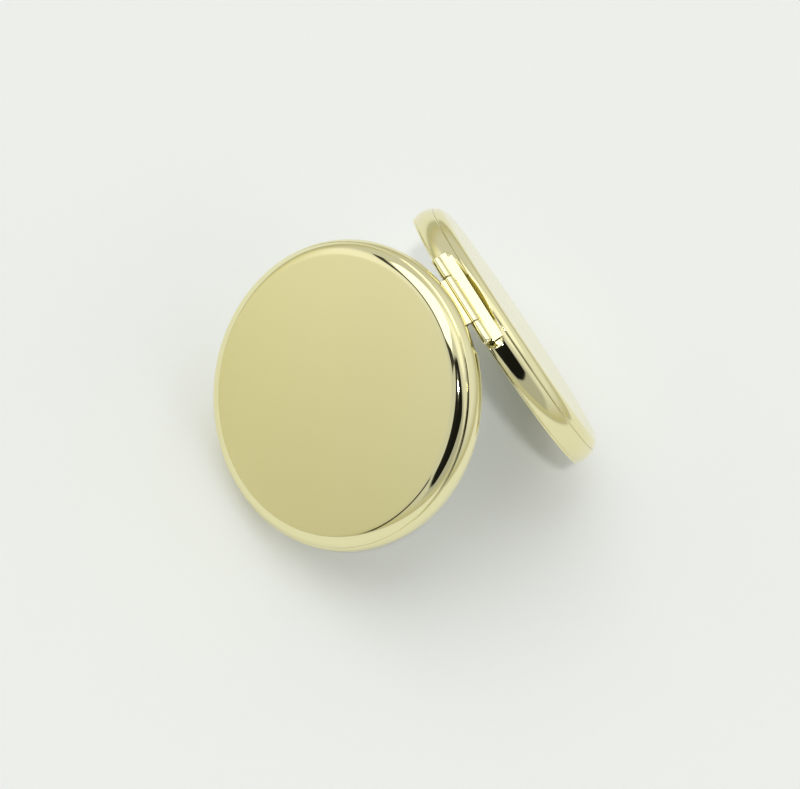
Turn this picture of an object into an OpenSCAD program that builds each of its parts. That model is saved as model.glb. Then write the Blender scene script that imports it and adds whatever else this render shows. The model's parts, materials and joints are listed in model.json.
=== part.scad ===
// Round folding pocket mirror, standing open like a tent.
// Each half is a stamped shell with a mirror tray pressed on its rim, and the halves turn on a
// three-knuckle hinge. Its outer knuckles sit on a leaf in a flat pocket of the base, and its middle
// knuckle on a leaf that comes out of a notch in the lid's rim. A sprung button on the base holds and
// frees a hook on the lid.
//
// Every piece is drawn in the shut case: the base is below Z = 0, the lid above it, the hinge at
// +X and the button at -X. base_stands() and lid_stands() then open the case and stand it on the
// floor, with the origin at the middle of its footprint. All lengths are in millimetres.

/* [Case] */
// Radius of each half at its rim
case_r = 34.7; // [33:0.1:36]
// Height of the side wall above the rim
wall_h = 5.1; // [4.9:0.05:5.5]
// How far the side wall's arc stands out from its chord
wall_bulge = 0.54; // [0.3:0.01:0.7]
// How much smaller the top of the side wall is than its rim, in radius
wall_draft = 0.54; // [0.3:0.01:0.7]
// Step inward where the shoulder leaves the wall
seam_step = 0.12; // [0.05:0.01:0.25]
// Width of the shoulder, from the top of the wall to the edge of the flat face
shoulder_w = 3.16; // [2.8:0.02:3.6]
// Height of the shoulder
shoulder_h = 2.15; // [1.9:0.05:2.4]
// How far the shoulder's arc stands out from its chord
shoulder_bulge = 0.6; // [0.3:0.01:0.8]
// Sheet thickness of the outer shells
shell_t = 0.6; // [0.5:0.05:0.7]
// Gap between the two rims when the case is shut
rim_gap = 0.2; // [0.1:0.05:0.3]
// Angle between the two halves as the case stands
stand_angle = 71.5; // [55:0.5:95]

/* [Trays and mirrors] */
// Sheet thickness of the mirror trays
tray_t = 0.5; // [0.4:0.05:0.6]
// Width of the trays' flat rings
ring_w = 5.5; // [5.2:0.1:6.2]
// Clearance around the mirror glasses
mirror_fit = 0.2; // [0.1:0.05:0.3]
// Thickness of the mirror glasses at their edges
mirror_t = 1.5; // [1.3:0.05:1.7]
// Depth of the dished face of the magnifying mirror
dish_depth = 0.45; // [0.2:0.05:0.6]
// Depth of the mirrors' edges below the rim
mirror_recess = 0.5; // [0.4:0.05:0.6]
// Inset of the adhesive pads from the edges of the mirrors
pad_inset = 1.5; // [0.5:0.1:4]
// Thickness of the adhesive pads
pad_t = 0.5; // [0.4:0.05:0.6]

/* [Hinge] */
// Distance of the hinge axis outside the rim
hinge_out = 0.7; // [0.6:0.05:1]
// Depth of the hinge axis below the base's rim
hinge_drop = 1; // [0.9:0.05:1.2]
// Outside diameter of the hinge barrel
barrel_d = 2.3; // [2:0.05:2.5]
// Inset of the hinge barrel's ends from the corners of the pocket
barrel_inset = 0.64; // [0.4:0.01:1.2]
// Length of the middle knuckle
knuckle_l = 11.9; // [9:0.1:14]
// Gap between neighbouring knuckles
knuckle_gap = 0.1; // [0.05:0.01:0.2]
// Diameter of the hinge pin
pin_d = 1; // [0.8:0.05:1.2]
// Radial clearance of the hinge pin
pin_fit = 0.04; // [0.02:0.01:0.08]
// Diameter of the hinge pin's peened ends
pin_head_d = 1.5; // [1.3:0.05:1.8]
// Thickness of the hinge pin's peened ends
pin_head_t = 0.2; // [0.1:0.05:0.3]
// Sheet thickness of the hinge leaves
leaf_t = 0.5; // [0.4:0.05:0.6]
// Inset of the base's hinge leaf from the edges of the pocket floor
leaf_inset = 0.1; // [0.05:0.05:0.3]
// Depth of the hinge pocket below the rim's radius
pocket_depth = 2.1; // [1.9:0.05:2.3]
// Drop of the pocket floor's top edge below the top of the side wall
pocket_drop = 1.5; // [1.2:0.05:1.8]
// Rise of the pocket's sloped top over the pocket's depth
pocket_rise = 3.1; // [2.6:0.05:3.6]
// Height of the notch in the lid's rim
notch_h = 1.4; // [1.2:0.05:1.6]
// Depth of the notch in the lid's tray below the rim's radius
notch_depth = 1.1; // [1:0.05:1.3]
// How far the lid's hinge leaf reaches past the notched edge of the tray
leaf_reach = 0.3; // [0.2:0.05:0.4]
// Gap between the lid's hinge leaf and the wall of the mirror's dish
leaf_gap = 0.9; // [0.5:0.1:1.2]

/* [Latch] */
// Width of the button's head
button_w = 7; // [6:0.1:8]
// Height of the button's head
button_h = 1.8; // [1.6:0.05:2]
// How far the button stands out of the wall
button_out = 0.7; // [0.6:0.05:0.8]
// Clearance around the button's head in its window
button_fit = 0.1; // [0.05:0.01:0.15]
// How far the button's inner flange laps the wall at each end of its window
flange_side = 1.1; // [0.8:0.1:1.5]
// How far the button's inner flange laps the wall above and below its window
flange_lap = 0.3; // [0.2:0.05:0.4]
// Thickness of the button's inner flange
flange_t = 0.7; // [0.6:0.05:0.8]
// Gap between the button's inner flange and the wall
flange_gap = 0.15; // [0.1:0.01:0.2]
// Travel of the button
latch_travel = 0.7; // [0.6:0.01:0.75]
// Width of the lid's hook
hook_w = 4; // [3:0.1:5]
// Thickness of the lid's hook
hook_t = 0.55; // [0.45:0.05:0.65]
// Height of the hook's nose
nose_h = 0.6; // [0.5:0.05:0.7]
// Length of the hook's nose, as a share of the catch lip above it
nose_share = 0.37; // [0.34:0.01:0.4]
// Gap between the hook's foot and the wall of its tray
foot_gap = 0.7; // [0.4:0.05:1]
// Width of the foot at each side of the hook
foot_side = 4; // [3.4:0.1:4.6]
// Sheet thickness of the slide
slide_t = 0.6; // [0.5:0.05:0.65]
// Width of the slide beyond the hook at each side
slide_side = 1.2; // [1:0.1:1.5]
// Length of the slide behind the button
slide_l = 6.9; // [6.2:0.1:7.8]
// Thickness of the slide's catch lip
lip_t = 0.5; // [0.4:0.05:0.6]
// Sheet thickness of the guide
guide_t = 0.5; // [0.4:0.05:0.6]
// Length of the guide over the slide
guide_lap = 2.5; // [2:0.1:3]
// Gap between the guide and the shell below it
guide_gap = 0.45; // [0.3:0.05:0.6]
// Width of each foot of the guide
guide_foot = 3; // [2.6:0.1:3.6]
// Wire diameter of the return spring
wire_d = 0.25; // [0.2:0.01:0.3]
// Gap between the return spring and the guide around it
spring_room = 0.35; // [0.25:0.05:0.5]
// Turns of the return spring
spring_turns = 7; // [5:1:8]
// Length of the return spring
spring_l = 6.4; // [5.6:0.1:7.2]

/* [Rivets] */
// Shank diameter of the rivets
rivet_d = 1.2; // [1:0.05:1.3]
// Diameter of the rivets' formed heads
rivet_head_d = 2; // [1.8:0.05:2.2]
// Height of the rivets' formed heads
rivet_head_h = 0.3; // [0.2:0.05:0.35]
// Radial clearance of the rivets in their holes
rivet_fit = 0.02; // [0.01:0.01:0.05]
// Spacing of the rivets that hold each hinge leaf
leaf_rivet_pitch = 7; // [6:0.1:9]

/* [Hidden] */
$fn = 120;

// Colours of the plating, the bare steel, the adhesive foam and the glass
gold = "#dcd394";
steel = "#b9bcbe";
foam = "#e9e9e4";
glass = "#cfd8dc";

// One overrun serves every cut
over = 1;
// Working gap between sliding pieces, and the gap below the tray's rim and above the catch lip
slide_fit = 0.15;
lip_gap = 0.3;
// Play of the hook under the catch lip, and beside it
catch_play = 0.1;
catch_fit = 0.15;
// Clearance of the hook in the slot of the base's tray, and in the slot of its own tray
slot_gap = 0.3;
slot_fit = 0.08;
// Gap between the hook's tip and the button's inner flange below it
tip_gap = 0.2;
// End gap of the return spring at each side
spring_gap = 0.05;

// Steps along the arcs of the wall and the shoulder, and rings and sides of the return spring's wire
arc_steps = 10;
rings_per_turn = 8;
wire_sides = 6;

// Sizes of the case that follow from the rim
crease_r = case_r - wall_draft;
face_r = crease_r - shoulder_w;
half_h = wall_h + shoulder_h;

// Arc between two points of a profile, bulging away from the middle of the case
function arc(start, end, bulge) = let(
    chord = norm(end - start),
    half_turn = 2 * atan(2 * bulge / chord),
    arc_r = chord / (2 * sin(half_turn)),
    along = (end - start) / chord,
    out = [along[1], -along[0]],
    middle = (start + end) / 2 - out * arc_r * cos(half_turn)
) [for (k = [0 : arc_steps]) let(a = half_turn * (1 - 2 * k / arc_steps))
    middle + arc_r * (out * cos(a) - along * sin(a))];

// Side wall and shoulder of a half, as an outline from the tray's ring to the edge of the flat face
function wall_arc(inset) = arc([case_r - inset, tray_t], [crease_r - inset, wall_h], wall_bulge);
function shoulder_arc(inset) = let(
    start = [crease_r - seam_step - inset, wall_h],
    end = [face_r, half_h - inset],
    share = norm(end - start) / norm([shoulder_w - seam_step, shoulder_h])
) arc(start, end, shoulder_bulge * share);
function profile(inset) = concat(wall_arc(inset), shoulder_arc(inset));
outline = profile(0);
widest_r = max([for (p = outline) p[0]]);
inside_wall = [for (p = wall_arc(shell_t)) [p[1], p[0]]];

// Hinge axis and pocket, as distances from the middle of the case and heights above the rim
hinge_x = case_r + hinge_out;
pocket_x = case_r - pocket_depth;
pocket_h = wall_h - pocket_drop;

// Standing case: both rims touch the floor, so the hinge axis and the two touching points make a
// triangle whose bottom side is level
base_leg = norm([hinge_x + case_r, hinge_drop]);
lid_leg = norm([hinge_x + case_r, hinge_drop + rim_gap]);
base_leg_tilt = atan(hinge_drop / (hinge_x + case_r));
lid_leg_tilt = atan((hinge_drop + rim_gap) / (hinge_x + case_r));
apex = stand_angle - base_leg_tilt + lid_leg_tilt;
base_leg_lean = atan2(base_leg - lid_leg * cos(apex), lid_leg * sin(apex));
base_lean = base_leg_lean + base_leg_tilt;
lid_lean = stand_angle - base_lean;
axis_z = base_leg * cos(base_leg_lean);
// How far each half reaches sideways from the hinge axis
base_reach = max([for (p = outline)
    (hinge_x + p[0]) * sin(base_lean) + (p[1] - hinge_drop) * cos(base_lean)]);
lid_reach = max([for (p = outline)
    (hinge_x + p[0]) * sin(lid_lean) + (p[1] + hinge_drop + rim_gap) * cos(lid_lean)]);
axis_x = (lid_reach - base_reach) / 2;

// Depths below a half's own rim
pad_top = mirror_recess + mirror_t;
floor_top = pad_top + pad_t;
floor_under = floor_top + tray_t;
tray_wall_r = case_r - ring_w;
mirror_r = tray_wall_r - tray_t - mirror_fit;
pad_r = mirror_r - pad_inset;

// Pocket of the hinge: a flat floor, then a slope that runs out through the side wall
pocket_slope = pocket_rise / pocket_depth;
slope_side = sqrt(1 + pocket_slope * pocket_slope);
pocket_far = widest_r + over;
pocket_half_w = sqrt(case_r * case_r - pocket_x * pocket_x);

// Hinge
barrel_r = barrel_d / 2;
barrel_l = 2 * (pocket_half_w - barrel_inset);
leaf_w = barrel_l - 2 * knuckle_gap;
leaf_low = tray_t + leaf_inset;
leaf_h = pocket_h - leaf_inset - leaf_low;
outer_knuckle_l = (barrel_l - knuckle_l) / 2 - knuckle_gap;
outer_knuckle_y = (barrel_l - outer_knuckle_l) / 2;
leaf_rivet_z = leaf_low + leaf_h / 2;
notch_r = case_r - notch_depth;
lid_leaf_back = tray_wall_r + leaf_gap;
lid_rivet_x = (lid_leaf_back + notch_r) / 2;

// Latch, as distances from the middle of the case towards the button and depths below the rim
lip_top = tray_t + lip_gap;
nose_top = lip_top + lip_t + catch_play;
hook_tip = nose_top + nose_h;
flange_w = button_w + 2 * flange_side;
flange_h = button_h + 2 * flange_lap;
flange_top = hook_tip + tip_gap;
button_z = flange_top + flange_h / 2;
flange_out_r = min([for (z = [flange_top, flange_top + flange_h]) lookup(z, inside_wall)]) - flange_gap;
flange_in = flange_out_r - flange_t;
shank_out = flange_in - slot_gap - slide_fit;
shank_in = shank_out - hook_t;
lip_end = shank_in - catch_fit;
catch_back = tray_wall_r + latch_travel + slide_fit;
nose_l = nose_share * (lip_end - catch_back);
foot_l = shank_out - tray_wall_r - foot_gap;
foot_w = hook_w + 2 * foot_side;
slide_w = hook_w + 2 * slide_side;
slide_top = floor_under + slide_fit;
slide_back = flange_in - slide_l;
guide_h = half_h - shell_t - guide_gap - guide_t - floor_under;
guide_l = spring_l + 2 * spring_gap + guide_lap;
guide_half_w = slide_w / 2 + slide_fit;
guide_back = slide_back - spring_l - 2 * spring_gap;
guide_floor = floor_under + guide_h;
guide_rivet_x = guide_back + guide_l / 2;
guide_rivet_y = guide_half_w + guide_t + guide_foot / 2;
hook_rivet_x = shank_out - foot_l / 2;
hook_rivet_y = (hook_w + foot_side) / 2;
spring_d = guide_h - 2 * spring_room;
spring_z = floor_under + guide_h / 2;

// Return spring: a helix with a straight run of one wire diameter at each end
coil_r = (spring_d - wire_d) / 2;
spring_rings = spring_turns * rings_per_turn;
coil_rise = (spring_l - 4 * wire_d) / spring_turns;
function coil(k) = let(a = 360 * k / rings_per_turn)
    [coil_r * cos(a), coil_r * sin(a), 2 * wire_d + coil_rise * k / rings_per_turn];
spring_path = concat(
    [[coil_r, 0, 0], [coil_r, 0, wire_d]],
    [for (k = [0 : spring_rings]) coil(k)],
    [[coil_r, 0, spring_l - wire_d], [coil_r, 0, spring_l]]
);
// Least gap of the spring to itself, between points half a turn or more apart
spring_self_gap = min([for (i = [0 : spring_rings]) for (j = [i + rings_per_turn / 2 : spring_rings])
    norm(coil(i) - coil(j))]) - wire_d;
echo(spring_self_gap = spring_self_gap);

// Opens the base half and stands it on the floor
module base_stands() {
    translate([axis_x, 0, axis_z])
        rotate([0, -90 - base_lean, 0])
            translate([-hinge_x, 0, hinge_drop])
                children();
}

// Opens the lid half and stands it on the floor
module lid_stands() {
    translate([axis_x, 0, axis_z])
        rotate([0, lid_lean - 90, 0])
            translate([-hinge_x, 0, hinge_drop])
                children();
}

// Turns a half that was drawn with its rim at Z = 0 and its face up into the base
module as_base() {
    base_stands()
        mirror([0, 0, 1])
            children();
}

// Lifts a half that was drawn with its rim at Z = 0 and its face up into the lid
module as_lid() {
    lid_stands()
        translate([0, 0, rim_gap])
            children();
}

// Box between two corners
module span(low, high) {
    translate(low)
        cube(high - low);
}

// Space that the hinge takes out of a half, grown inward by a sheet thickness
module hinge_pocket(grow) {
    floor_x = pocket_x - grow;
    top = pocket_h + grow * (slope_side - pocket_slope);
    far_top = top + (pocket_far - floor_x) * pocket_slope;
    rotate([90, 0, 0])
        linear_extrude(2 * case_r, center = true)
            polygon([[floor_x, -over], [pocket_far, -over], [pocket_far, far_top], [floor_x, top]]);
}

// Solid of revolution inside a shell's outer or inner face
module shell_body(inset, below) {
    rotate_extrude()
        polygon(concat(below, profile(inset), [[0, half_h - inset]]));
}

// Hollow of a shell
module shell_hollow() {
    shell_body(shell_t, [[0, tray_t - over], [case_r - shell_t, tray_t - over]]);
}

// Tray: a flat ring on the rim, and a dish that takes the mirror
module tray() {
    rotate_extrude()
        polygon([
            [0, floor_top], [tray_wall_r - tray_t, floor_top], [tray_wall_r - tray_t, 0],
            [case_r, 0], [case_r, tray_t], [tray_wall_r, tray_t],
            [tray_wall_r, floor_under], [0, floor_under]
        ]);
}

// Block across the hinge side of the lid's rim, as long as the base's pocket
module hinge_notch(top) {
    span([tray_wall_r, -pocket_half_w, -over], [pocket_far, pocket_half_w, top]);
}

// Pad of double-sided foam that holds a mirror
module mirror_pad() {
    translate([0, 0, pad_top])
        cylinder(h = pad_t, r = pad_r);
}

// Flat mirror glass
module flat_mirror() {
    translate([0, 0, mirror_recess])
        cylinder(h = mirror_t, r = mirror_r);
}

// Magnifying mirror glass, with a shallow dished face
module dished_mirror() {
    dish = [for (k = [0 : arc_steps]) let(share = k / arc_steps)
        [mirror_r * share, mirror_recess + dish_depth * (1 - share * share)]];
    rotate_extrude()
        polygon(concat(dish, [[mirror_r, pad_top], [0, pad_top]]));
}

// Rivet along Z: its flush end at the bottom, its formed head on top of the grip
module rivet(grip) {
    cylinder(h = grip, d = rivet_d);
    translate([0, 0, grip])
        cylinder(h = rivet_head_h, d = rivet_head_d);
}

// Places children at both rivets of the base's hinge leaf, with +Z pointing into the case
module at_base_leaf_rivets() {
    for (side = [-1, 1])
        translate([pocket_x + leaf_t, side * leaf_rivet_pitch / 2, leaf_rivet_z])
            rotate([0, -90, 0])
                children();
}

// Places children at both rivets of the lid's hinge leaf, with +Z pointing into the case
module at_lid_leaf_rivets() {
    for (side = [-1, 1])
        translate([lid_rivet_x, side * leaf_rivet_pitch / 2, 0])
            children();
}

// Hole for a rivet that stands along Z
module rivet_hole(grip) {
    translate([0, 0, -over])
        cylinder(h = grip + 2 * over, d = rivet_d + 2 * rivet_fit);
}

// Places children at the hinge axis of the shut case, with +Z along +Y
module at_axis() {
    translate([hinge_x, 0, -hinge_drop])
        rotate([-90, 0, 0])
            children();
}

// Bore of the hinge barrel, right through
module axis_bore() {
    at_axis()
        cylinder(h = barrel_l + 2 * over, d = pin_d + 2 * pin_fit, center = true);
}

// Leaf with the two outer knuckles. Its plate fills the pocket up to the slope, and the knuckles'
// webs leave the barrel on the far side from the lid.
module base_leaf_solid() {
    web_low = -hinge_drop - barrel_r;
    top = leaf_low + leaf_h;
    plate = [
        [pocket_x, leaf_low], [pocket_x + leaf_t, leaf_low],
        [pocket_x + leaf_t, top + leaf_t * pocket_slope], [pocket_x, top]
    ];
    difference() {
        union() {
            mirror([0, 0, 1])
                rotate([90, 0, 0])
                    linear_extrude(leaf_w, center = true)
                        polygon(plate);
            for (side = [-1, 1]) {
                at_axis()
                    translate([0, 0, side * outer_knuckle_y])
                        cylinder(h = outer_knuckle_l, d = barrel_d, center = true);
                translate([0, side * outer_knuckle_y - outer_knuckle_l / 2, 0])
                    span([pocket_x, 0, web_low], [hinge_x, outer_knuckle_l, web_low + leaf_t]);
            }
        }
        axis_bore();
        mirror([0, 0, 1])
            at_base_leaf_rivets()
                rivet_hole(leaf_t + shell_t);
    }
}

// Leaf with the middle knuckle. Its plate lies on the back of the tray's ring, and its neck comes out
// of the notch and slopes down to the top of the barrel.
module lid_leaf_solid() {
    low = rim_gap + tray_t;
    front = notch_r + leaf_reach;
    section = [
        [lid_leaf_back, low], [lid_leaf_back, low + leaf_t], [front, low + leaf_t],
        [hinge_x + barrel_r * cos(105), barrel_r * sin(105) - hinge_drop],
        [hinge_x + barrel_r * cos(135), barrel_r * sin(135) - hinge_drop],
        [notch_r + leaf_reach / 2, low]
    ];
    difference() {
        union() {
            at_axis()
                cylinder(h = knuckle_l, d = barrel_d, center = true);
            rotate([90, 0, 0])
                linear_extrude(knuckle_l, center = true)
                    polygon(section);
        }
        axis_bore();
        translate([0, 0, rim_gap])
            at_lid_leaf_rivets()
                rivet_hole(tray_t + leaf_t);
    }
}

// Slab across the latch, between two distances and two depths
module latch_slab(near, far, width, top, bottom) {
    span([-far, -width / 2, top], [-near, width / 2, bottom]);
}

// Head of the button, or its window in the wall
module button_head(grow, near, reach) {
    intersection() {
        cylinder(h = half_h, r = reach);
        latch_slab(
            near, reach + over, button_w + 2 * grow,
            button_z - button_h / 2 - grow, button_z + button_h / 2 + grow
        );
    }
}

// Places children at both rivets of the guide
module at_guide_rivets() {
    for (side = [-1, 1])
        translate([-guide_rivet_x, side * guide_rivet_y, floor_top])
            children();
}

// Places children at both rivets of the hook's foot
module at_hook_rivets() {
    for (side = [-1, 1])
        translate([-hook_rivet_x, side * hook_rivet_y, 0])
            children();
}

module base_shell() {
    color(gold)
        as_base()
            difference() {
                shell_body(0, [[0, tray_t]]);
                hinge_pocket(0);
                difference() {
                    shell_hollow();
                    hinge_pocket(shell_t);
                }
                at_base_leaf_rivets()
                    rivet_hole(leaf_t + shell_t);
                button_head(button_fit, tray_wall_r, widest_r + over);
            }
}

module base_tray() {
    color(gold)
        as_base()
            difference() {
                tray();
                hinge_pocket(0);
                latch_slab(
                    shank_in - nose_l - slot_gap, shank_out + slot_gap, hook_w + 2 * slot_gap,
                    -over, tray_t + over
                );
                at_guide_rivets()
                    rivet_hole(tray_t);
            }
}

module base_mirror_pad() {
    color(foam)
        as_base()
            mirror_pad();
}

module base_mirror() {
    color(glass)
        as_base()
            flat_mirror();
}

module base_hinge_leaf() {
    color(gold)
        base_stands()
            base_leaf_solid();
}

module base_leaf_rivets() {
    color(gold)
        as_base()
            at_base_leaf_rivets()
                rivet(leaf_t + shell_t);
}

module hinge_pin() {
    color(gold)
        base_stands()
            at_axis() {
                cylinder(h = barrel_l, d = pin_d, center = true);
                for (side = [-1, 1])
                    translate([0, 0, side * (barrel_l + pin_head_t) / 2])
                        cylinder(h = pin_head_t, d = pin_head_d, center = true);
            }
}

module latch_button() {
    color(gold)
        as_base() {
            button_head(0, flange_in, widest_r + button_out);
            intersection() {
                cylinder(h = half_h, r = flange_out_r);
                latch_slab(
                    flange_in, case_r, flange_w, button_z - flange_h / 2, button_z + flange_h / 2
                );
            }
        }
}

module latch_slide() {
    color(steel)
        as_base() {
            latch_slab(slide_back, flange_in, slide_w, slide_top, slide_top + slide_t);
            latch_slab(slide_back, slide_back + slide_t, slide_w, slide_top, guide_floor - slide_fit);
            latch_slab(catch_back, catch_back + slide_t, hook_w, lip_top, slide_top + slide_t);
            latch_slab(catch_back, lip_end, hook_w, lip_top, lip_top + lip_t);
        }
}

module latch_spring() {
    count = len(spring_path);
    points = [for (k = [0 : count - 1]) let(
        p = spring_path[k],
        before = spring_path[max(k - 1, 0)],
        after = spring_path[min(k + 1, count - 1)],
        along = (k < 2 || k > count - 3) ? [0, 0, 1] : (after - before) / norm(after - before),
        out = [p[0], p[1], 0] / coil_r,
        flat = out - along * (out * along),
        side = flat / norm(flat),
        up = cross(along, side)
    ) for (s = [0 : wire_sides - 1]) let(a = 360 * s / wire_sides)
        p + wire_d / 2 * (side * cos(a) + up * sin(a))];
    walls = [for (k = [0 : count - 2]) for (s = [0 : wire_sides - 1]) let(
        a = k * wire_sides + s,
        b = k * wire_sides + (s + 1) % wire_sides
    ) each [[a, a + wire_sides, b], [b, a + wire_sides, b + wire_sides]]];
    last = (count - 1) * wire_sides;
    caps = [for (s = [1 : wire_sides - 2]) each [[0, s, s + 1], [last, last + s + 1, last + s]]];
    color(steel)
        as_base()
            translate([-guide_back - spring_gap, 0, spring_z])
                rotate([0, -90, 0])
                    polyhedron(points, concat(walls, caps));
}

module latch_guide() {
    outer_half_w = guide_half_w + guide_t;
    far = guide_back + guide_l;
    color(steel)
        as_base()
            difference() {
                union() {
                    latch_slab(
                        guide_back - guide_t, far, 2 * outer_half_w,
                        floor_under, guide_floor + guide_t
                    );
                    latch_slab(
                        guide_back - guide_t, far, 2 * (outer_half_w + guide_foot),
                        floor_under, floor_under + guide_t
                    );
                }
                latch_slab(guide_back, far + over, 2 * guide_half_w, floor_under - over, guide_floor);
                at_guide_rivets()
                    rivet_hole(tray_t + guide_t);
            }
}

module latch_guide_rivets() {
    color(steel)
        as_base()
            at_guide_rivets()
                rivet(tray_t + guide_t);
}

module lid_shell() {
    color(gold)
        as_lid()
            difference() {
                shell_body(0, [[0, tray_t]]);
                shell_hollow();
                hinge_notch(notch_h);
            }
}

module lid_tray() {
    color(gold)
        as_lid()
            difference() {
                tray();
                difference() {
                    hinge_notch(tray_t + over);
                    cylinder(h = 4 * tray_t, r = notch_r, center = true);
                }
                at_lid_leaf_rivets()
                    rivet_hole(tray_t);
                latch_slab(
                    shank_in - slot_fit, shank_out + slot_fit, hook_w + 2 * slot_fit,
                    -over, tray_t + over
                );
                at_hook_rivets()
                    rivet_hole(tray_t);
            }
}

module lid_mirror_pad() {
    color(foam)
        as_lid()
            mirror_pad();
}

module lid_mirror() {
    color(glass)
        as_lid()
            dished_mirror();
}

module lid_hinge_leaf() {
    color(gold)
        lid_stands()
            lid_leaf_solid();
}

module lid_leaf_rivets() {
    color(gold)
        as_lid()
            at_lid_leaf_rivets()
                rivet(tray_t + leaf_t);
}

module lid_hook() {
    foot_top = tray_t + hook_t;
    color(gold)
        as_lid()
            difference() {
                union() {
                    latch_slab(shank_in, shank_out, hook_w, -rim_gap - hook_tip, foot_top);
                    latch_slab(
                        shank_in - nose_l, shank_out, hook_w, -rim_gap - hook_tip, -rim_gap - nose_top
                    );
                    latch_slab(shank_out - foot_l, shank_out, foot_w, tray_t, foot_top);
                }
                at_hook_rivets()
                    rivet_hole(foot_top);
            }
}

module lid_hook_rivets() {
    color(gold)
        as_lid()
            at_hook_rivets()
                rivet(tray_t + hook_t);
}

base_shell();
base_tray();
base_mirror_pad();
base_mirror();
base_hinge_leaf();
base_leaf_rivets();
hinge_pin();
latch_button();
latch_slide();
latch_spring();
latch_guide();
latch_guide_rivets();
lid_shell();
lid_tray();
lid_mirror_pad();
lid_mirror();
lid_hinge_leaf();
lid_leaf_rivets();
lid_hook();
lid_hook_rivets();
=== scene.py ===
"""Looks of a round folding pocket mirror that stands open like a tent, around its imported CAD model.

Each half is worked out in its own frame, in millimetres: x runs from the middle of the half towards the
hinge, y along the hinge, and w from the rim to the flat outer face. on_base() and on_lid() carry those
points into the model's frame, in metres.
"""
import bpy
import json
import math
import numpy as np
from mathutils import Euler, Matrix, Vector


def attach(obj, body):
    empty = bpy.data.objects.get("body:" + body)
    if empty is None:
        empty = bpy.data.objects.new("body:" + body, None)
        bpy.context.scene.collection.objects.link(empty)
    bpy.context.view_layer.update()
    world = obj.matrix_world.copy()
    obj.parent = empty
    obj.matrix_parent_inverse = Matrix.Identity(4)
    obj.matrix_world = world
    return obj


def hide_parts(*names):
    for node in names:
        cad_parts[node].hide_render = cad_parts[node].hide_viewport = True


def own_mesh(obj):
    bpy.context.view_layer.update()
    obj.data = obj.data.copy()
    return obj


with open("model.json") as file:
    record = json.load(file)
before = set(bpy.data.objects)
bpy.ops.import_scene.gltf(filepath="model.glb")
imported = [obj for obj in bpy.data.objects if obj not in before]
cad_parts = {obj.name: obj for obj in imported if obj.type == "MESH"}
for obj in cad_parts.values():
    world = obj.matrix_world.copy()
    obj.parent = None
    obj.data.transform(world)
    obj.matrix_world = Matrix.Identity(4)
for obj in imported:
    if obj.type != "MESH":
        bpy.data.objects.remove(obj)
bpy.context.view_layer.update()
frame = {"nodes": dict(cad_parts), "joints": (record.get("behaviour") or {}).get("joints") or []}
nodes = frame["nodes"]
MM_PER_M = 1000

# Sizes of the CAD model, in millimetres and degrees. The shells: side wall, shoulder, sheet and stand
CASE_R, WALL_H, WALL_BULGE, WALL_DRAFT = 34.7, 5.1, 0.54, 0.54
SHOULDER_W, SHOULDER_H, SHOULDER_BULGE, SEAM_STEP = 3.16, 2.15, 0.6, 0.12
SHELL_T, RIM_GAP, STAND = 0.6, 0.2, 71.5
# The trays with the slot for the hook, the glasses and the pads
TRAY_T, RING_W, HOOK_W, SLOT_GAP = 0.5, 5.5, 4.0, 0.3
MIRROR_FIT, MIRROR_T, DISH, RECESS, PAD_T = 0.2, 1.5, 0.45, 0.5, 0.5
# The hinge's axis, knuckles, pin and leaves, and the rivets of the leaves
HINGE_X, HINGE_DROP, BARREL_D, KNUCKLE_L, KNUCKLE_GAP = 35.4, 1.0, 2.3, 11.9, 0.1
PIN_D, PIN_HEAD_D, PIN_HEAD_T, LEAF_T, LEAF_INSET = 1.0, 1.5, 0.2, 0.5, 0.1
RIVET_HEAD_D, RIVET_HEAD_H, RIVET_PITCH = 2.0, 0.3, 7.0
# The base's hinge pocket, and the lid's notch and leaf
POCKET_X, POCKET_H, POCKET_SLOPE, BARREL_INSET = 32.6, 3.6, 3.1 / 2.1, 0.64
NOTCH_H, NOTCH_DEPTH, LEAF_REACH, LEAF_GAP = 1.4, 1.1, 0.3, 0.9
# The push button with its flange, and the return spring out and pressed
BUTTON_W, BUTTON_H, BUTTON_LOW, BUTTON_FIT = 7.0, 1.8, 2.5, 0.1
BUTTON_R, FLANGE_OUT_R, FLANGE_IN_R, FLANGE_SIDE, FLANGE_LAP = 35.7, 33.7, 33.0, 1.1, 0.3
SPRING_R, SPRING_WIRE_R, SPRING_TURNS, SPRING_L, SPRING_PRESSED_L = 0.875, 0.125, 7, 6.4, 5.7
SPRING_X, SPRING_W = -19.63, 4.35

# Sizes that follow from these
CREASE_R = CASE_R - WALL_DRAFT
FACE_R = CREASE_R - SHOULDER_W
HALF_H = WALL_H + SHOULDER_H
KNUCKLE_R = BARREL_D / 2
BARREL_L = 2 * (math.sqrt(CASE_R ** 2 - POCKET_X ** 2) - BARREL_INSET)
OUTER_L = (BARREL_L - KNUCKLE_L) / 2 - KNUCKLE_GAP
OUTER_Y = (BARREL_L - OUTER_L) / 2
LEAF_W = BARREL_L - 2 * KNUCKLE_GAP
LEAF_LOW = TRAY_T + LEAF_INSET
LEAF_HIGH = POCKET_H - LEAF_INSET
POCKET_HALF_W = BARREL_L / 2 + BARREL_INSET
NOTCH_R = CASE_R - NOTCH_DEPTH
TRAY_WALL_R = CASE_R - RING_W
MIRROR_R = TRAY_WALL_R - TRAY_T - MIRROR_FIT
PAD_TOP = RECESS + MIRROR_T
FLOOR_TOP = PAD_TOP + PAD_T

# Details that only the looks have, in millimetres. The seam groove, and the zone with finer rows below it
SEAM_W, SEAM_DEPTH, FINE_ZONE_H = 0.13, 0.12, 0.35
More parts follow.
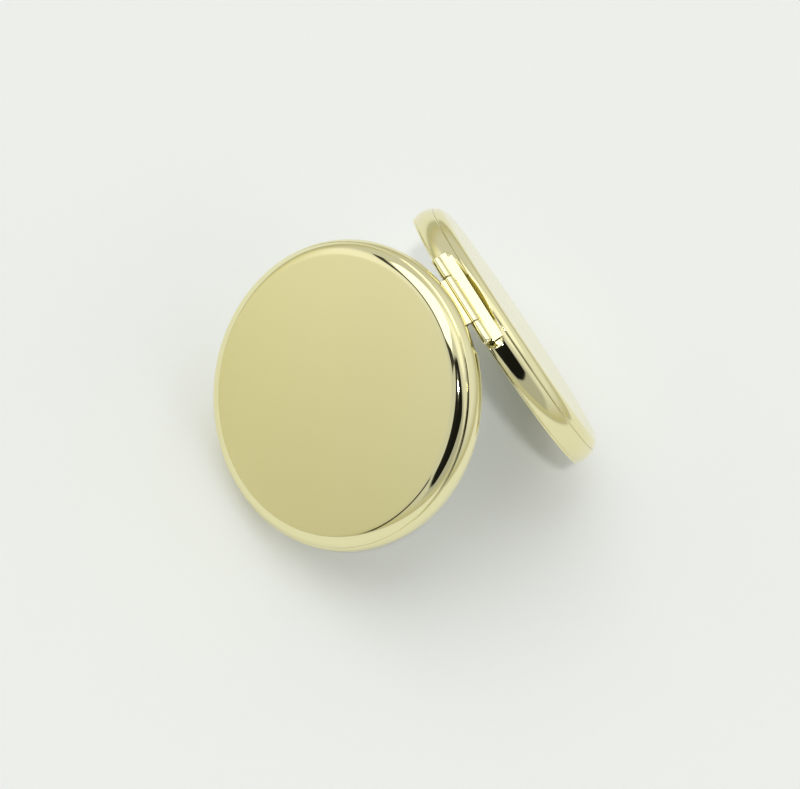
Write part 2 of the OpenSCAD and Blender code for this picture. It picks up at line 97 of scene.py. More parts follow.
# Rounding of the pocket's inner corner and of its outer edge, and fading out of the notch at its ends
POCKET_CORNER, POCKET_EDGE, NOTCH_FADE = 0.3, 0.09, 0.15
# The trays: rounding of the lip on its two sides and of the rim, and radii of the slot and of the even ring
LIP_ROUND, LIP_ROUND_BACK, RIM_ROUND = 0.35, 0.14, 0.16
SLOT_OUTER_R, SLOT_INNER_R, EVEN_RING_R = 32.83, 31.02, 30.2
# The hinge: rounding of knuckles and sheet, play, and how far webs start and end from their neighbours
KNUCKLE_EDGE, PLATE_BEVEL, SHEET_ROUND, NECK_ROUND = 0.22, 0.06, 0.04, 0.12
PIN_PLAY, PLATE_PLAY, WEB_START, WEB_INSET = 0.01, 0.02, 0.1, 0.05
# The rivets' shank and flush end, the glasses' bevel and edges, and the band of ground glass
RIVET_R, RIVET_FACE_R, RIVET_PROUD = 0.58, 0.5, 0.02
BEVEL_W, BEVEL_H, BEVEL_ROUND, BACK_BEVEL = 0.5, 0.3, 0.06, 0.05
DISH_RIM_W, DISH_RIM_H, GROUND_BAND = 0.12, 0.1, 0.03
# Radii at which the widths of the button's window and of the hook's slot are measured
WINDOW_R, SLOT_R = 35.0, 32.0

# Half of the hinge's zone in degrees, the least cosine of what is near the hinge, and a radius for no limit
HINGE_ZONE, NEAR_HINGE, NO_LIMIT = 25, 0.5, 99
# Numbers of two of the stretches of angles_round()
AT_HINGE, OPPOSITE = 1, 4
# Rows of the flat face as shares of its radius, and of a bevelled end as shares of the bevel, in and along
FACE_SHARES = np.array([0.985, 0.9, 0.7, 0.4, 0.15, 0.0])
BEVEL_ROWS = ((1, 0), (0.3, 0.3), (0, 1), (0, 1.5))
# Turns round the tray's rim, from its edge to its flat side, and radii of the rows on its floor
RIM_TURNS = (math.pi / 2, 0.9, 0.4, 0.0)
TRAY_FLOOR_RADII = (24.0, 12.0, 0.0)
# Rows of the shell's wall, plain and fine, and of the dished glass
WALL_ROWS, FINE_ROWS, DISH_ROWS = 30, 12, 60
# Power that crowds the shoulder's points, power that squares the button, and sine wave in the coil's rise
CROWDING, SQUARENESS, COIL_WAVE = 1.5, 0.28, 0.035
# Points along a wall, a shoulder, a small round, a quarter turn and a turn of the coil
WALL_POINTS, SHOULDER_POINTS, ROUND_POINTS, QUARTER_POINTS, COIL_POINTS = 200, 50, 5, 7, 80
# Points round glass, knuckle, pin, rivet, button and wire
GLASS_STEPS, KNUCKLE_STEPS, PIN_STEPS, RIVET_STEPS, BUTTON_STEPS, WIRE_STEPS = 240, 96, 48, 40, 96, 12

# Standing place of the two halves: the hinge axis, and the lean of each half from upright
hinge_place = next(j for j in frame["joints"] if j["name"] == "lid_hinge")["pos_m"]
AXIS_X, AXIS_Z = hinge_place[0] * MM_PER_M, hinge_place[2] * MM_PER_M
leg = HINGE_X + CASE_R
base_leg, lid_leg = math.hypot(leg, HINGE_DROP), math.hypot(leg, HINGE_DROP + RIM_GAP)
base_tilt, lid_tilt = math.atan(HINGE_DROP / leg), math.atan((HINGE_DROP + RIM_GAP) / leg)
apex = math.radians(STAND) - base_tilt + lid_tilt
BASE_LEAN = math.atan2(base_leg - lid_leg * math.cos(apex), lid_leg * math.sin(apex)) + base_tilt
LID_LEAN = math.radians(STAND) - BASE_LEAN
BASE_TURN, LID_TURN = -math.pi / 2 - BASE_LEAN, LID_LEAN - math.pi / 2


def turned(x, y, z, angle):
    """Points of the shut case in millimetres, turned by an angle about the hinge axis and moved to the
    standing place, in metres: x cos + z sin and z cos - x sin, counted from that axis."""
    dx, dz = x - HINGE_X, z + HINGE_DROP
    cosine, sine = math.cos(angle), math.sin(angle)
    across, over = AXIS_X + dx * cosine + dz * sine, AXIS_Z - dx * sine + dz * cosine
    return np.stack(np.broadcast_arrays(across, y, over), -1) / MM_PER_M


def on_base(x, y, w):
    """Points of the base's frame, in the model's frame."""
    return turned(x, y, -w, BASE_TURN)


def on_lid(x, y, w):
    """Points of the lid's frame, in the model's frame."""
    return turned(x, y, RIM_GAP + w, LID_TURN)


def direction(place):
    """Direction of +w of a half in the model's frame."""
    step = place(0.0, 0.0, 1.0) - place(0.0, 0.0, 0.0)
    return step / np.linalg.norm(step)


# Meshes

def quads(rows, cols):
    """Corner numbers of the faces of a rows by cols grid whose last column joins its first."""
    first, col = np.meshgrid(np.arange(rows - 1) * cols, np.arange(cols), indexing="ij")
    after = (col + 1) % cols
    return np.stack([first + col, first + after, first + cols + after, first + cols + col], -1)


def skin(points):
    """Points of a grid, rows by cols by xyz, as one list, and its faces."""
    rows, cols, _ = points.shape
    return points.reshape(-1, 3), [quads(rows, cols).reshape(-1, 4)]


def end_caps(points):
    """Faces that close the first and the last row of a grid."""
    rows, cols, _ = points.shape
    ring = np.arange(cols)
    return [ring[None, ::-1], (ring + (rows - 1) * cols)[None]]


def spun(profile, around):
    """A profile of radius and height turned round its axis, as two places across the axis and the height."""
    phi = np.linspace(0, 2 * math.pi, around, endpoint=False)
    return profile[:, :1] * np.cos(phi), profile[:, :1] * np.sin(phi), np.repeat(profile[:, 1:], around, 1)


def piece(name, points, faces, sharp_from=40):
    """Mesh object from an array of points and a list of arrays of faces. Double points are merged, the faces
    are turned outwards, and an edge stays sharp from the given angle in degrees."""
    mesh = bpy.data.meshes.new(name)
    mesh.from_pydata(points.tolist(), [], [face for part in faces for face in part.tolist()])
    mesh.validate()
    mesh.update()
    mesh.shade_smooth()
    made = bpy.data.objects.new(name, mesh)
    bpy.context.scene.collection.objects.link(made)
    bpy.ops.object.select_all(action="DESELECT")
    made.select_set(True)
    bpy.context.view_layer.objects.active = made
    bpy.ops.object.mode_set(mode="EDIT")
    bpy.ops.mesh.select_all(action="SELECT")
    bpy.ops.mesh.remove_doubles(threshold=1e-7)
    bpy.ops.mesh.normals_make_consistent(inside=False)
    bpy.ops.object.mode_set(mode="OBJECT")
    mesh.set_sharp_from_angle(angle=math.radians(sharp_from))
    return made


def merged(name, shapes):
    """One piece from several closed shapes, each given as points and faces."""
    points, faces, start = [], [], 0
    for shape_points, shape_faces in shapes:
        points.append(shape_points)
        faces += [part + start for part in shape_faces]
        start += len(shape_points)
    made = piece(name, np.concatenate(points), faces, sharp_from=35)
    made.modifiers.new("flat_sides_stay_flat", "WEIGHTED_NORMAL").keep_sharp = True
    return made


def two_layers(front, back, hole):
    """Points and faces of a sheet of metal: two grids of equal size, closed round and in the middle, joined
    along their first rows. hole is a mask of the faces left out, and its edge is joined too."""
    rows, cols, _ = front.shape
    grid = quads(rows, cols)
    layer = rows * cols
    ring = np.arange(cols)
    after = (ring + 1) % cols
    rim = np.stack([ring, after, after + layer, ring + layer], -1)
    faces = [grid[~hole][:, ::-1], grid[~hole] + layer, rim[~hole[0]]]
    near, next_near, next_far, far = np.moveaxis(grid, -1, 0)
    left = hole & ~np.roll(hole, 1, 1)
    right = hole & ~np.roll(hole, -1, 1)
    low = hole & ~np.vstack([np.ones((1, cols), bool), hole[:-1]])
    high = hole & ~np.vstack([hole[1:], np.zeros((1, cols), bool)])
    for mask, start, end in ((left, near, far), (right, next_far, next_near),
                             (low, next_near, near), (high, far, next_far)):
        faces.append(np.stack([start[mask], end[mask], end[mask] + layer, start[mask] + layer], -1))
    return np.concatenate([front.reshape(-1, 3), back.reshape(-1, 3)]), faces


def arc(start, end, bulge, shares):
    """Points at shares of the arc from start to end that stands out from its chord by bulge. Half its angle
    is twice the arctangent of the bulge over half the chord."""
    start, end = np.array(start, float), np.array(end, float)
    chord = np.linalg.norm(end - start)
    half = 2 * math.atan(2 * bulge / chord)
    radius = chord / (2 * math.sin(half))
    along = (end - start) / chord
    out = np.array([along[1], -along[0]])
    middle = (start + end) / 2 - out * radius * math.cos(half)
    angle = half * (1 - 2 * shares)[:, None]
    return middle + radius * (out * np.cos(angle) - along * np.sin(angle))


def soft_min(one, two, width):
    """Lesser of two values, rounded off where they differ by less than the given width: their mix by a share
    h, less width * h * (1 - h) / 2."""
    h = np.clip(0.5 + (two - one) / (2 * width), 0, 1)
    return two * (1 - h) + one * h - width * h * (1 - h) / 2


def half_angle(half_width, radius):
    """Angle in degrees that a half width takes up on a circle."""
    return math.degrees(math.asin(half_width / radius))


def angles_round(steps, half_opening):
    """Angles round a half, in six stretches with the given numbers of even steps: up to the pocket or notch
    at the hinge, in it, after it, on to an opening opposite the hinge, in it, and on to the start."""
    half_hinge = half_angle(POCKET_HALF_W, CASE_R)
    edges = [-HINGE_ZONE, -half_hinge, half_hinge, HINGE_ZONE,
             180 - half_opening, 180 + half_opening, 360 - HINGE_ZONE]
    parts = [np.linspace(start, end, count, endpoint=False)
             for start, end, count in zip(edges, edges[1:], steps)]
    return np.radians(np.concatenate(parts))


def columns(steps, stretch):
    """Columns of a grid that lie in one stretch of angles_round()."""
    return slice(sum(steps[:stretch]), sum(steps[:stretch + 1]))


def case_outline(inset):
    """Radius and height along the side wall and along the shoulder, up to the flat face. The points of the
    shoulder lie closer together near its foot."""
    even = np.linspace(0, 1, WALL_POINTS)
    wall = arc((CASE_R - inset, TRAY_T), (CREASE_R - inset, WALL_H), WALL_BULGE, even)
    start, end = (CREASE_R - SEAM_STEP - inset, WALL_H), (FACE_R, HALF_H - inset)
    share = math.dist(start, end) / math.hypot(SHOULDER_W - SEAM_STEP, SHOULDER_H)
    crowded = np.linspace(0, 1, SHOULDER_POINTS) ** CROWDING
    return wall, arc(start, end, SHOULDER_BULGE * share, crowded)


def seam_groove(distance):
    """Depth of the seam groove at a distance from the crease: a bell curve."""
    return SEAM_DEPTH * np.exp(-(distance / SEAM_W) ** 2)


def pocket_wall(height, inset):
    """Distance of the hinge pocket's wall from the middle of the half, by height: constant on the pocket's
    floor, sloping out above it, with the corner between them rounded."""
    floor_x = POCKET_X - inset
    top = POCKET_H + inset * (math.hypot(1, POCKET_SLOPE) - POCKET_SLOPE)
    slope_x = floor_x + (height - top) / POCKET_SLOPE
    return -soft_min(np.full_like(height, -floor_x), -slope_x, POCKET_CORNER)


def shell(name, place, is_base):
    """Stamped shell. The radius at an angle and a height is the turned profile's. On the base it is the
    lesser of that and of the hinge pocket's wall over the cosine of the angle. The base has a window for the
    button, and the lid a notch in its rim for the hinge's neck."""
    steps = (24, 152, 24, 120, 12, 120)
    phi = angles_round(steps, half_angle(BUTTON_W / 2 + BUTTON_FIT, WINDOW_R))
    cosine, sine = np.cos(phi), np.sin(phi)
    near = cosine > NEAR_HINGE
    window_low, window_high = BUTTON_LOW - BUTTON_FIT, BUTTON_LOW + BUTTON_H + BUTTON_FIT
    # Heights of the wall's rows, with rows on the edges of the window and of the notch
    fine_from = WALL_H - FINE_ZONE_H
    rows = np.unique(np.concatenate([
        np.linspace(TRAY_T, fine_from, WALL_ROWS), np.linspace(fine_from, WALL_H, FINE_ROWS),
        [window_low, window_high, NOTCH_H]]).round(4))

    def layer(inset):
        """Grid of one side of the sheet. The outer side has no inset, and has the seam groove."""
        wall, shoulder = case_outline(inset)
        wall_r, shoulder_r = np.interp(rows, wall[:, 1], wall[:, 0]), shoulder[:, 0]
        if inset == 0:
            wall_r = wall_r - seam_groove(rows - WALL_H)
            shoulder_r = shoulder_r - seam_groove(np.linalg.norm(shoulder - shoulder[0], axis=1))
        height = np.concatenate([rows, shoulder[1:, 1]])
        r = np.repeat(np.concatenate([wall_r, shoulder_r[1:]])[:, None], len(phi), 1)
        if is_base:
            reach = pocket_wall(height, inset)[:, None] / np.where(near, cosine, 1)
            r = soft_min(r, np.where(near, reach, NO_LIMIT), POCKET_EDGE)
        r = np.vstack([r, np.repeat(FACE_R * FACE_SHARES[:, None], len(phi), 1)])
        w = np.concatenate([height, np.full(len(FACE_SHARES), HALF_H - inset)])
        return place(r * cosine, r * sine, np.repeat(w[:, None], len(phi), 1))

    def row_at(height):
        return np.argmin(abs(rows - height))

    front, back = layer(0), layer(SHELL_T)
    hole = np.zeros((len(front) - 1, len(phi)), bool)
    if is_base:
        hole[row_at(window_low):row_at(window_high), columns(steps, OPPOSITE)] = True
    else:
        hole[:row_at(NOTCH_H), columns(steps, AT_HINGE)] = True
    return piece(name, *two_layers(front, back, hole), sharp_from=35)


def tray_outline(depth, wall_r, bend, inwards):
    """Radius and height of one side of the tray's sheet, from the rim's rounded edge across the flat ring,
    over the lip, down the wall and across the floor. depth is how far its ring lies inside the rim."""
    quarter = np.linspace(0, math.pi / 2, QUARTER_POINTS)[:, None]
    rim = [[CASE_R - RIM_ROUND * (1 - math.sin(turn)), depth + inwards * RIM_ROUND * (1 - math.cos(turn))]
           for turn in RIM_TURNS]
    ring = [[radius, depth] for radius in (SLOT_OUTER_R, SLOT_INNER_R, EVEN_RING_R)]
    lip = np.array([wall_r + bend, depth + bend]) + bend * np.hstack([-np.sin(quarter), -np.cos(quarter)])
    foot = np.array([wall_r - bend, FLOOR_TOP + depth - bend])
    foot = foot + bend * np.hstack([np.cos(quarter), np.sin(quarter)])
    dish_floor = [[radius, foot[-1, 1]] for radius in TRAY_FLOOR_RADII]
    return np.vstack([rim, ring, lip, foot, dish_floor])


def tray(name, place, is_base):
    """Tray pressed from sheet. On the base its outer edge is cut straight along the hinge pocket, and it has
    a slot for the hook. On the lid the edge steps in to a smaller radius behind the notch. Either cut fades
    out towards the even part of the ring."""
    steps = (40, 90, 40, 100, 8, 100)
    phi = angles_round(steps, half_angle(HOOK_W / 2 + SLOT_GAP, SLOT_R))
    cosine, sine = np.cos(phi), np.sin(phi)
    if is_base:
        edge = np.where(cosine > NEAR_HINGE, POCKET_X / np.maximum(cosine, NEAR_HINGE), NO_LIMIT)
    else:
        in_notch = np.clip((POCKET_HALF_W - abs(CASE_R * sine)) / NOTCH_FADE, 0, 1) * (cosine > 0)
        edge = CASE_R - NOTCH_DEPTH * in_notch
    drawn_in = CASE_R - soft_min(np.full_like(edge, CASE_R), edge, POCKET_EDGE)

    def layer(*side):
        outline = tray_outline(*side)
        share = np.clip((outline[:, :1] - EVEN_RING_R) / (CASE_R - EVEN_RING_R), 0, 1)
        r = outline[:, :1] - share * drawn_in
        return place(r * cosine, r * sine, np.repeat(outline[:, 1:], len(phi), 1))

    front = layer(0, TRAY_WALL_R - TRAY_T, LIP_ROUND, 1)
    back = layer(TRAY_T, TRAY_WALL_R, LIP_ROUND_BACK, -1)
    hole = np.zeros((len(front) - 1, len(phi)), bool)
    if is_base:
        # The row after those of the rounded rim
        hole[len(RIM_TURNS), columns(steps, OPPOSITE)] = True
    return piece(name, *two_layers(front, back, hole), sharp_from=45)


def along_axis(profile, middle, around, is_tube):
    """Points and faces of a solid of revolution about the hinge axis, from a profile of radius and place
    along +Y. The last row of a tube is joined to its first."""
    across, over, along = spun(profile, around)
    points, faces = skin(turned(HINGE_X + across, along + middle, over - HINGE_DROP, BASE_TURN))
    if is_tube:
        ring = np.arange(around)
        after = (ring + 1) % around
        last = (len(profile) - 1) * around
        faces.append(np.stack([ring + last, after + last, after, ring], -1))
    return points, faces


def knuckle(length, middle):
    """Tube round the hinge pin, with both of its rims rounded."""
    turn = np.linspace(0, math.pi / 2, ROUND_POINTS)
    radius = KNUCKLE_R - KNUCKLE_EDGE + KNUCKLE_EDGE * np.sin(turn)
    left = np.stack([radius, -length / 2 + KNUCKLE_EDGE - KNUCKLE_EDGE * np.cos(turn)], -1)
    bore = PIN_D / 2 + PIN_PLAY
    profile = np.vstack([[[bore, -length / 2]], left, left[::-1] * [1, -1], [[bore, length / 2]]])
    return along_axis(profile, middle, KNUCKLE_STEPS, True)


def hinge_pin():
    """Pin with a low riveted dome on both ends."""
    half = BARREL_L / 2
    # Radius, and height over the barrel's end as a share of the head's thickness
    dome = [(0, 1), (0.35, 0.95), (0.62, 0.7), (0.73, 0.35), (PIN_HEAD_D / 2, 0), (PIN_D / 2, 0)]
    left = np.array([[radius, -half - PIN_HEAD_T * share] for radius, share in dome])
    profile = np.vstack([left, left[::-1] * [1, -1]])
    return piece("riveted_hinge_pin", *along_axis(profile, 0.0, PIN_STEPS, False))


def softened(corners, radius):
    """Outline of a polygon, given anticlockwise, with each corner rounded off by a quadratic curve that
    leaves and meets its sides at the given distance, or at 0.45 of a shorter side."""
    corners = np.array(corners, float)
    t = np.linspace(0, 1, ROUND_POINTS)[:, None]

    def towards_neighbour(corner, neighbour):
        side = np.linalg.norm(neighbour - corner)
        return corner + (neighbour - corner) / side * min(radius, 0.45 * side)

    parts = []
    for before, corner, after in zip(np.roll(corners, 1, 0), corners, np.roll(corners, -1, 0)):
        start, end = towards_neighbour(corner, before), towards_neighbour(corner, after)
        parts.append(start * (1 - t) ** 2 + corner * 2 * t * (1 - t) + end * t ** 2)
    return np.vstack(parts)


def rolled(outline, low_y, high_y, turn, bevel):
    """Points and faces of a strip of sheet: a closed outline in x and z of the shut case, carried along +Y,
    its ends drawn in by a small bevel along the outline's normals."""
    step = np.roll(outline, -1, 0) - np.roll(outline, 1, 0)
    normal = np.stack([step[:, 1], -step[:, 0]], -1) / np.linalg.norm(step, axis=1)[:, None]
    rows = [(bevel * inwards, low_y + bevel * along) for inwards, along in BEVEL_ROWS]
    rows += [(bevel * inwards, high_y - bevel * along) for inwards, along in reversed(BEVEL_ROWS)]
    drawn_in, y = (np.array(values)[:, None] for values in zip(*rows))
    x, z = outline[:, 0] - normal[:, 0] * drawn_in, outline[:, 1] - normal[:, 1] * drawn_in
    grid = turned(x, y, z, turn)
    points, faces = skin(grid)
    return points, faces + end_caps(grid)


def base_leaf():
    """Leaf plate that fills the base's pocket floor up to the slope, with two outer knuckles and webs."""
    back, front, top = POCKET_X, POCKET_X + LEAF_T, PLATE_PLAY - POCKET_H
    corners = [(back, top), (front, top - LEAF_T * POCKET_SLOPE), (front, -LEAF_LOW), (back, -LEAF_LOW)]
    plate = softened(corners, SHEET_ROUND)
    start, web = POCKET_X + WEB_START, -HINGE_DROP - KNUCKLE_R
    corners = [(start, web), (HINGE_X, web), (HINGE_X, web + LEAF_T), (start, web + LEAF_T)]
    strip = softened(corners, SHEET_ROUND)
    shapes = [rolled(plate, -LEAF_W / 2, LEAF_W / 2, BASE_TURN, PLATE_BEVEL)]
    for middle in (-OUTER_Y, OUTER_Y):
        low_y, high_y = middle - OUTER_L / 2 + WEB_INSET, middle + OUTER_L / 2 - WEB_INSET
        shapes += [knuckle(OUTER_L, middle), rolled(strip, low_y, high_y, BASE_TURN, KNUCKLE_EDGE)]
    return merged("base_leaf_and_knuckles", shapes)


def on_barrel(degrees, share=1.0):
    """Point at an angle round the knuckles and a share of their radius, in x and z of the shut case."""
    angle = math.radians(degrees)
    return HINGE_X + share * KNUCKLE_R * math.cos(angle), -HINGE_DROP + share * KNUCKLE_R * math.sin(angle)


def lid_leaf():
    """Leaf plate that lies behind the lid's ring, and its neck, which leaves the notch and slopes down to
    the top of the middle knuckle."""
    low, back, front = RIM_GAP + TRAY_T, TRAY_WALL_R + LEAF_GAP, NOTCH_R + LEAF_REACH
    section = softened([(back, low), (NOTCH_R + LEAF_REACH / 2, low), on_barrel(135), on_barrel(120, 0.9),
                        on_barrel(105), (front, low + LEAF_T), (back, low + LEAF_T)], NECK_ROUND)
    half = KNUCKLE_L / 2 - WEB_INSET
    neck = rolled(section, -half, half, LID_TURN, KNUCKLE_EDGE)
    return merged("lid_leaf_and_knuckle", [neck, knuckle(KNUCKLE_L, 0.0)])


def rivet_pair(name, grip, put):
    """Two rivets, almost flush outside, with a low domed head inside. The profile runs along the shank from
    its flush end, and put(y, across, depth) gives the place of a point."""
    head_r, turn = RIVET_HEAD_D / 2, np.linspace(0, math.pi / 2, QUARTER_POINTS)[1:]
    shank = [[0, -RIVET_PROUD], [RIVET_FACE_R, -0.75 * RIVET_PROUD], [RIVET_R, RIVET_PROUD / 2],
             [RIVET_R, grip], [head_r, grip]]
    dome = np.stack([head_r * np.cos(turn), grip + RIVET_HEAD_H * np.sin(turn)], -1)
    along, across, depth = spun(np.vstack([shank, dome]), RIVET_STEPS)
    return merged(name, [skin(put(y + along, across, depth)) for y in (-RIVET_PITCH / 2, RIVET_PITCH / 2)])


def base_rivet_place(y, across, depth):
    """Place of a point of the rivets that hold the base's leaf to the pocket's floor."""
    return turned(POCKET_X + LEAF_T - depth, y, across - (LEAF_LOW + LEAF_HIGH) / 2, BASE_TURN)


def lid_rivet_place(y, across, depth):
    """Place of a point of the rivets that hold the lid's leaf to the ring of its tray."""
    return turned((TRAY_WALL_R + LEAF_GAP + NOTCH_R) / 2 + across, y, RIM_GAP + depth, LID_TURN)


def button():
    """Push button: superellipses of growing size over the domed face, then the sides, then the flange behind
    the wall, each ring bent to a radius about the middle of the case."""
    turn = np.linspace(0, 2 * math.pi, BUTTON_STEPS, endpoint=False)
    wide, high = (np.sign(way) * abs(way) ** SQUARENESS for way in (np.cos(turn), np.sin(turn)))
    side, top = BUTTON_W / 2, BUTTON_H / 2
    # Half width, half height and radius of each ring
    rings = [(0, 0, BUTTON_R), (1.2, 0.3, BUTTON_R), (2.4, 0.6, BUTTON_R - 0.01),
             (3.1, 0.78, BUTTON_R - 0.04), (3.38, 0.86, BUTTON_R - 0.1), (3.46, 0.89, BUTTON_R - 0.18),
             (side, top, BUTTON_R - 0.3), (side, top, FLANGE_OUT_R),
             (side + FLANGE_SIDE, top + FLANGE_LAP, FLANGE_OUT_R - 0.04),
             (side + FLANGE_SIDE, top + FLANGE_LAP, FLANGE_IN_R),
             (4.5, 1.1, FLANGE_IN_R - 0.02), (0, 0, FLANGE_IN_R - 0.02)]
    half_w, half_h, reach = (np.array(values)[:, None] for values in zip(*rings))
    y, w = half_w * wide, BUTTON_LOW + top + half_h * high
    x = -np.sqrt(np.maximum(reach ** 2 - y ** 2, 0))
    # The flange's back is flat
    x[-3:] = -reach[-3:]
    return piece("button_cap", *skin(on_base(x, y, w)))


def coil():
    """Return spring: round wire swept along a helix whose end turns close up, in frames that follow it. Its
    rise is even, less one period of a small sine wave."""
    t = np.linspace(0, 1, COIL_POINTS * SPRING_TURNS)
    angle = 2 * math.pi * SPRING_TURNS * t
    rise = SPRING_WIRE_R + (SPRING_L - 2 * SPRING_WIRE_R) * (t - COIL_WAVE * np.sin(2 * math.pi * t))
    centre = np.stack([SPRING_R * np.cos(angle), SPRING_R * np.sin(angle), rise], -1)
    along = np.gradient(centre, axis=0)
    along /= np.linalg.norm(along, axis=1)[:, None]
    out = np.stack([np.cos(angle), np.sin(angle), 0 * angle], -1)
    up = np.cross(along, out)
    out = np.cross(up, along)
    turn = np.linspace(0, 2 * math.pi, WIRE_STEPS, endpoint=False)[None, :, None]
    wire = centre[:, None] + SPRING_WIRE_R * (out[:, None] * np.cos(turn) + up[:, None] * np.sin(turn))
    grid = on_base(SPRING_X - wire[..., 2], wire[..., 0], SPRING_W + wire[..., 1])
    points, faces = skin(grid)
    return piece("return_coil", points, faces + end_caps(grid), sharp_from=60)


def glass_profile(is_flat):
    """Radius and height round a mirror glass, from the middle of its front to the middle of its back. The
    flat one has a ground bevel, and the front of the other is dished by a parabola."""
    if is_flat:
        front = [[0, RECESS], [MIRROR_R - BEVEL_W, RECESS], [MIRROR_R - BEVEL_ROUND, RECESS + BEVEL_H],
                 [MIRROR_R, RECESS + BEVEL_H + BEVEL_ROUND]]
    else:
        share = np.linspace(0, 1, DISH_ROWS)
        dish = np.stack([(MIRROR_R - DISH_RIM_W) * share, RECESS + DISH * (1 - share ** 2)], -1)
        front = np.vstack([dish, [[MIRROR_R, RECESS + DISH_RIM_H]]])
    back = [[MIRROR_R, PAD_TOP - BACK_BEVEL], [MIRROR_R - BACK_BEVEL, PAD_TOP], [0, PAD_TOP]]
    return np.vstack([front, back])


# Materials

class Val:
    """A number or colour that comes out of a shader node. Sums, products and the like add Math nodes."""

    def __init__(self, paint, socket):
        self.paint, self.socket = paint, socket

    def maths(self, kind, *values):
        return self.paint.node("ShaderNodeMath", {"operation": kind}, values)

    def __add__(self, other):
        return self.maths("ADD", self, other)

    def __radd__(self, other):
        return self.maths("ADD", other, self)

    def __sub__(self, other):
        return self.maths("SUBTRACT", self, other)

    def __rsub__(self, other):
        return self.maths("SUBTRACT", other, self)

    def __mul__(self, other):
        return self.maths("MULTIPLY", self, other)

    def __rmul__(self, other):
        return self.maths("MULTIPLY", other, self)

    def __pow__(self, other):
        return self.maths("POWER", self, other)

    def __abs__(self):
        return self.maths("ABSOLUTE", self)


class Paint:
    """One node tree, with a single method for every kind of node."""

    def __init__(self, tree):
        self.tree = tree
        tree.nodes.clear()

    def node(self, kind, settings, inputs, out=0):
        made = self.tree.nodes.new(kind)
        for key, value in settings.items():
            setattr(made, key, value)
        pairs = inputs.items() if isinstance(inputs, dict) else enumerate(inputs)
        for key, value in pairs:
            if isinstance(value, Val):
                self.tree.links.new(value.socket, made.inputs[key])
            else:
                made.inputs[key].default_value = value
        return Val(self, made.outputs[out]) if len(made.outputs) else None

    def place(self):
        return self.node("ShaderNodeTexCoord", {}, {}, "Object")

    def stretched(self, vector, scale, rotation=(0, 0, 0)):
        return self.node("ShaderNodeMapping", {}, {"Vector": vector, "Scale": scale, "Rotation": rotation})

    def noise(self, vector, scale, detail, rough=0.5):
        inputs = {"Vector": vector, "Scale": scale, "Detail": detail, "Roughness": rough}
        return self.node("ShaderNodeTexNoise", {}, inputs)

    def mix(self, share, a, b):
        return self.node("ShaderNodeMix", {"data_type": "RGBA"}, {0: share, 6: a, 7: b}, 2)

    def dot(self, vector, way):
        return self.node("ShaderNodeVectorMath", {"operation": "DOT_PRODUCT"}, [vector, tuple(way)], "Value")

    def ramp(self, value, low, high):
        """Smooth step from 0 to 1 between low and high."""
        return self.node("ShaderNodeMapRange", {"interpolation_type": "SMOOTHSTEP"}, [value, low, high])

    def ramp_mm(self, length, low, high):
        """Smooth step of a length in metres between two sizes in millimetres."""
        return self.ramp(length, low / MM_PER_M, high / MM_PER_M)

    def bump(self, height, strength, distance):
        inputs = {"Strength": strength, "Distance": distance, "Height": height}
        return self.node("ShaderNodeBump", {}, inputs)

    def surface(self, sockets):
        shader = self.node("ShaderNodeBsdfPrincipled", {}, sockets)
        self.node("ShaderNodeOutputMaterial", {}, {"Surface": shader})


def material(name):
    """New material, and the paint for its node tree."""
    made = bpy.data.materials.new(name)
    made.use_nodes = True
    return made, Paint(made.node_tree)


def rgb(text):
    """Linear colour from its six-digit name, by the sRGB curve."""
    parts = [int(text[k:k + 2], 16) / 255 for k in (0, 2, 4)]
    return tuple(v / 12.92 if v <= 0.04045 else ((v + 0.055) / 1.055) ** 2.4 for v in parts) + (1.0,)


PALE_GOLD, DEEP_GOLD = "f2ebbc", "f0e7b6"
# Colours of painted shade: in the seam groove, on the hinge pocket's slope, and in the gaps between the
# knuckles
SEAM_SHADE_COLOUR, POCKET_SHADE_COLOUR, GAP_SHADE_COLOUR = "6e6434", "a39a62", "6b4a20"


def plating(name, base_rough, *marks):
    """Polished pale gold plating: faint warm patches, fine polishing haze and hair scratches. Each mark is
    one of the functions below with the half that it is for."""
    made, paint = material(name)
    where = paint.place()
    patches = paint.ramp(paint.noise(where, 14.0, 1.0), 0.4, 0.6)
    colour = paint.mix(patches, rgb(PALE_GOLD), rgb(DEEP_GOLD))
    haze = paint.noise(where, 900.0, 4.0, 0.6)
    hair = paint.noise(paint.stretched(where, (9000, 500, 9000), (0.3, 0.5, 0.2)), 1.0, 2.0)
    rough = base_rough + 0.02 * paint.ramp(haze, 0.4, 0.7)
    for mark, place in marks:
        mask, tint, dullness = mark(paint, where, place)
        if tint:
            colour = paint.mix(mask, colour, rgb(tint))
        rough = rough + mask * dullness
    paint.surface({"Base Color": colour, "Metallic": 1.0, "Roughness": rough,
                   "Normal": paint.bump(hair * 0.05 + haze * 0.04, 0.02, 0.0002)})
    return made


def height_and_face(paint, where, place):
    """How far a point lies in the direction of +w of a half, and how far its flat face does, in metres."""
    way = direction(place)
    return paint.dot(where, way), float(place(0.0, 0.0, HALF_H) @ way)


def from_middle(paint, where, place):
    """Distance of a point from the middle of a half's rim."""
    middle = tuple(place(0.0, 0.0, 0.0))
    return paint.node("ShaderNodeVectorMath", {"operation": "DISTANCE"}, [where, middle], "Value")


def satin_face(paint, where, place):
    """Mark: the flat face is a little more satin than the rest."""
    height, face = height_and_face(paint, where, place)
    return paint.ramp(height, face - 0.012 / MM_PER_M, face - 0.002 / MM_PER_M), None, 0.1


def painted_seam_shade(paint, where, place):
    """Mark: painted shade, a thin dark line in the seam groove, outside the hinge pocket."""
    height, face = height_and_face(paint, where, place)
    crease = face - (HALF_H - WALL_H) / MM_PER_M
    line = 1 - paint.ramp_mm(abs(height - crease), 0.03, 0.1)
    return line * paint.ramp_mm(from_middle(paint, where, place), 34.3, 34.5), SEAM_SHADE_COLOUR, 0.2


